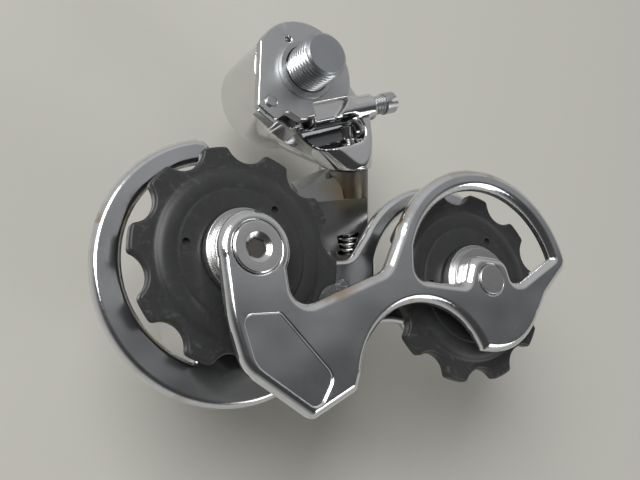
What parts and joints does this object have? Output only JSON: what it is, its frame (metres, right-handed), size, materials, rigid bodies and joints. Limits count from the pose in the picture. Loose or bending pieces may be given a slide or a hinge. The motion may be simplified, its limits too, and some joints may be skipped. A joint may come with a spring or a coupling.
{
  "type": "rear bicycle derailleur",
  "caption": "Rear bicycle derailleur: a bolt-on sprung knuckle, a slanted parallelogram of pinned links and a sprung cage that guides the chain over two toothed pulleys.",
  "frame": {"origin": "on the mounting bolt axis, in the washer face that meets the frame hanger", "axes": "+Z along the mounting bolt towards the wheel, +X to the rear of the bicycle, +Y up"},
  "size_m": [0.1042, 0.0836, 0.0487],
  "materials": {
    "bright_steel": "bright drawn and ground steel",
    "zinc_steel": "zinc plated steel",
    "polished_alloy": "polished",
    "satin_alloy": "satin with bright edges",
    "pulley_plastic": "worn satin",
    "bearing_brass": "plain bearing brass"
  },
  "bodies": {
    "mount": {"mounting_bolt": "bright_steel", "hanger_washer": "zinc_steel", "stop_plate": "satin_alloy", "stop_pin": "bright_steel"},
    "upper_knuckle": {"upper_knuckle": "polished_alloy", "barrel_bush": "bearing_brass", "barrel_spring": "bright_steel", "barrel_cap": "polished_alloy", "upper_inner_pin": "bright_steel", "upper_outer_pin": "bright_steel"},
    "angle_screw": {"angle_screw": "zinc_steel"},
    "cable_adjuster": {"cable_adjuster": "zinc_steel"},
    "inner_link": {"inner_link": "satin_alloy", "return_spring": "bright_steel"},
    "outer_link": {"outer_link": "polished_alloy", "cable_anchor_bolt": "zinc_steel", "cable_washer": "zinc_steel"},
    "high_limit_screw": {"high_limit_screw": "zinc_steel"},
    "low_limit_screw": {"low_limit_screw": "zinc_steel"},
    "lower_knuckle": {"lower_knuckle": "polished_alloy", "lower_inner_pin": "bright_steel", "lower_outer_pin": "bright_steel", "pivot_bush": "bearing_brass", "cage_spring": "bright_steel"},
    "cage": {"pivot_shaft": "bright_steel", "pivot_cap": "polished_alloy", "outer_cage_plate": "satin_alloy", "inner_cage_plate": "satin_alloy", "cage_stop_screw": "zinc_steel", "guide_bolt": "zinc_steel", "tension_bolt": "zinc_steel", "tension_nut": "zinc_steel", "guide_inner_race": "bright_steel", "guide_inner_cap": "satin_alloy", "guide_outer_cap": "satin_alloy", "tension_inner_race": "bright_steel", "tension_inner_cap": "satin_alloy", "tension_outer_cap": "satin_alloy"},
    "guide_pulley": {"guide_pulley": "pulley_plastic", "guide_outer_race": "bright_steel", "guide_balls": "bright_steel"},
    "tension_pulley": {"tension_pulley": "pulley_plastic", "tension_outer_race": "bright_steel", "tension_balls": "bright_steel"}
  },
  "joints": [
    {"name": "upper_pivot", "type": "hinge", "parent": "mount", "child": "upper_knuckle", "pos_m": [0, 0, -0.012], "axis": [0, 0, 1], "range_deg": [0, 30], "stiffness_Nm_per_rad": 0.3, "springref_deg": -45.84, "deforming": ["barrel_spring"]},
    {"name": "angle_screw_turn", "type": "hinge", "parent": "upper_knuckle", "child": "angle_screw", "pos_m": [0.02092, -0.00154, -0.00525], "axis": [0.9239, 0.3827, 0], "continuous": true},
    {"name": "adjuster_turn", "type": "hinge", "parent": "upper_knuckle", "child": "cable_adjuster", "pos_m": [0.012, -0.0005, -0.0155], "axis": [1, 0, 0], "continuous": true},
    {"name": "outer_link_swing", "type": "hinge", "parent": "upper_knuckle", "child": "outer_link", "pos_m": [0.02082, -0.02133, -0.02226], "axis": [-0.24, 0.8956, 0.3746], "range_deg": [0, 54], "stiffness_Nm_per_rad": 0.5, "springref_deg": -34.38, "deforming": ["return_spring"]},
    {"name": "inner_link_swing", "type": "hinge", "parent": "upper_knuckle", "child": "inner_link", "pos_m": [0.01798, -0.02617, -0.01252], "axis": [-0.24, 0.8956, 0.3746], "range_deg": [0, 54]},
    {"name": "high_limit_turn", "type": "hinge", "parent": "outer_link", "child": "high_limit_screw", "pos_m": [-0.00053, -0.02476, -0.03148], "axis": [0.106, 0.4077, -0.9069], "continuous": true},
    {"name": "low_limit_turn", "type": "hinge", "parent": "outer_link", "child": "low_limit_screw", "pos_m": [-0.00826, -0.02619, -0.03302], "axis": [0.106, 0.4077, -0.9069], "continuous": true},
    {"name": "lower_knuckle_swing", "type": "hinge", "parent": "outer_link", "child": "lower_knuckle", "pos_m": [-0.01512, -0.03078, -0.03071], "axis": [-0.24, 0.8956, 0.3746], "range_deg": [-54, 0]},
    {"name": "cage_pivot", "type": "hinge", "parent": "lower_knuckle", "child": "cage", "pos_m": [-0.00997, -0.05196, -0.015], "axis": [0, 0, -1], "range_deg": [0, 100], "stiffness_Nm_per_rad": 0.4, "springref_deg": -57.3, "deforming": ["cage_spring"]},
    {"name": "guide_spin", "type": "hinge", "parent": "cage", "child": "guide_pulley", "pos_m": [-0.01497, -0.04246, 0.0005], "axis": [0, 0, 1], "continuous": true},
    {"name": "tension_spin", "type": "hinge", "parent": "cage", "child": "tension_pulley", "pos_m": [0.04003, -0.04246, 0.0005], "axis": [0, 0, 1], "continuous": true}
  ],
  "couplings": [
    {"joint": "inner_link_swing", "follows": "outer_link_swing", "ratio": 1},
    {"joint": "lower_knuckle_swing", "follows": "outer_link_swing", "ratio": -1}
  ]
}
